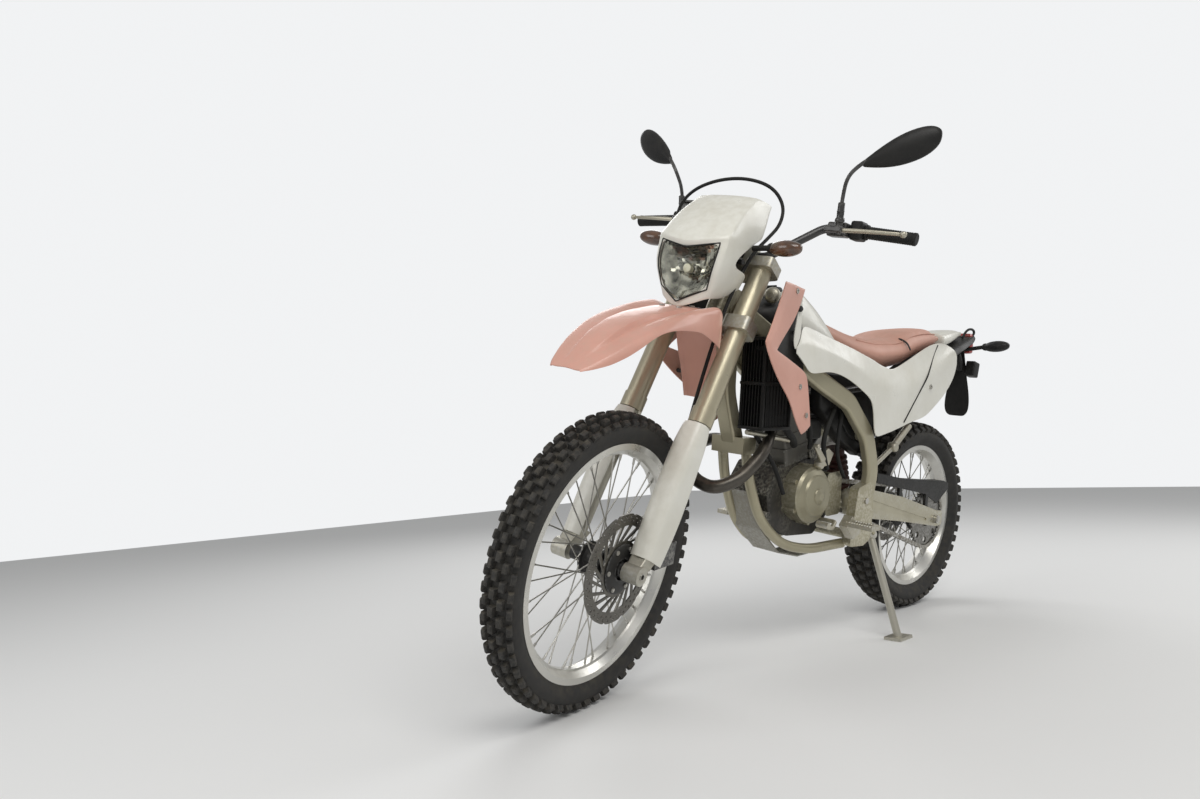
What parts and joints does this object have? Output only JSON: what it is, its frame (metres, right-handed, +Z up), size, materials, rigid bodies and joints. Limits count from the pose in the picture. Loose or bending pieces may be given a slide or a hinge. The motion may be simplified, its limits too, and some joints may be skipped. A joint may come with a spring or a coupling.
{
  "type": "dual sport motorcycle",
  "caption": "Dual sport motorcycle leaning on its side stand, with turned handlebar, spoked wheels, high fenders, open engine and rolling, steering and folding stand joints.",
  "frame": {"origin": "middle of the bounding box's footprint, on the ground plane the tyres and stand foot rest on", "axes": "+X forward, +Y to the rider's left, +Z up; the machine leans to +Y on its side stand"},
  "size_m": [2.1574, 0.8724, 1.5407],
  "materials": {
    "tyre_rubber": "matt",
    "rim_silver": "satin anodised",
    "hub_dark": "black anodised",
    "disc_steel": "ground",
    "clamp_silver": "cast, clear coat",
    "fork_tube": "anodised khaki silver",
    "fork_foot": "cast",
    "bolt_steel": "zinc plated",
    "white_plastic": "moulded",
    "black_paint": "satin black",
    "black_rubber": "matt",
    "black_plastic": "moulded grain",
    "lens_clear": "clear",
    "reflector": "polished",
    "amber_lens": "smoked amber",
    "pink_plastic": "moulded, faded",
    "frame_paint": "khaki silver enamel",
    "arm_silver": "khaki silver anodised",
    "chain_steel": "oiled",
    "spring_paint": "red enamel",
    "engine_dark": "satin black",
    "cover_silver": "khaki silver enamel",
    "engine_cast": "cast",
    "radiator_black": "black",
    "guard_grey": "moulded",
    "pipe_steel": "heat tinted",
    "muffler_steel": "satin",
    "tank_black": "moulded",
    "seat_pink": "grained vinyl",
    "red_lens": "clear red",
    "stand_paint": "silver enamel"
  },
  "bodies": {
    "front_wheel": {"front_tyre": "tyre_rubber", "front_rim": "rim_silver", "front_hub": "hub_dark", "front_disc": "disc_steel"},
    "rear_wheel": {"rear_tyre": "tyre_rubber", "rear_rim": "rim_silver", "rear_hub": "hub_dark", "rear_disc": "disc_steel", "rear_sprocket": "disc_steel"},
    "steering": {"triple_clamps": "clamp_silver", "fork_tubes": "fork_tube", "fork_legs": "fork_foot", "front_axle": "bolt_steel", "fork_guards": "white_plastic", "handlebar": "black_paint", "grips": "black_rubber", "hand_controls": "black_plastic", "mirrors": "black_plastic", "headlight_cowl": "white_plastic", "headlight_lens": "lens_clear", "headlight_bowl": "reflector", "instrument_panel": "black_plastic", "front_signals": "amber_lens", "front_fender": "pink_plastic", "front_caliper": "black_paint", "brake_hose": "black_rubber"},
    "chassis": {"frame_head": "frame_paint", "frame_spars": "frame_paint", "frame_cradles": "frame_paint", "frame_cross_tubes": "frame_paint", "subframe": "black_paint", "swingarm": "arm_silver", "rear_bolts": "bolt_steel", "drive_chain": "chain_steel", "shock": "spring_paint", "crankcase": "engine_dark", "engine_covers": "cover_silver", "cylinder": "engine_cast", "airbox": "black_plastic", "radiator": "radiator_black", "skid_plate": "guard_grey", "exhaust_header": "pipe_steel", "muffler": "muffler_steel", "fuel_tank": "tank_black", "seat": "seat_pink", "side_panels": "white_plastic", "shrouds": "pink_plastic", "tail_cowl": "white_plastic", "rear_mudguard": "black_plastic", "plate_bracket": "black_plastic", "tail_light": "red_lens", "rear_signals": "amber_lens", "chain_guard": "black_plastic", "rear_caliper": "black_paint", "foot_controls": "clamp_silver", "pillion_brackets": "clamp_silver", "stand_bracket": "frame_paint"},
    "side_stand": {"side_stand": "stand_paint"}
  },
  "joints": [
    {"name": "steering", "type": "hinge", "parent": "chassis", "child": "steering", "pos_m": [0.36965, -0.07473, 0.90708], "axis": [-0.4607, 0.1463, 0.8754], "range_deg": [-59.3, 30.7]},
    {"name": "front_wheel_spin", "type": "hinge", "parent": "steering", "child": "front_wheel", "pos_m": [0.73415, -0.15382, 0.34052], "axis": [-0.2197, 0.9368, -0.2721], "continuous": true},
    {"name": "rear_wheel_spin", "type": "hinge", "parent": "chassis", "child": "rear_wheel", "pos_m": [-0.70921, -0.17341, 0.32062], "axis": [-0.0005, 0.9863, -0.165], "continuous": true},
    {"name": "side_stand_fold", "type": "hinge", "parent": "chassis", "child": "side_stand", "pos_m": [-0.27927, -0.06031, 0.29838], "axis": [0.1124, 0.9549, 0.2749], "range_deg": [0, 89.3]}
  ]
}
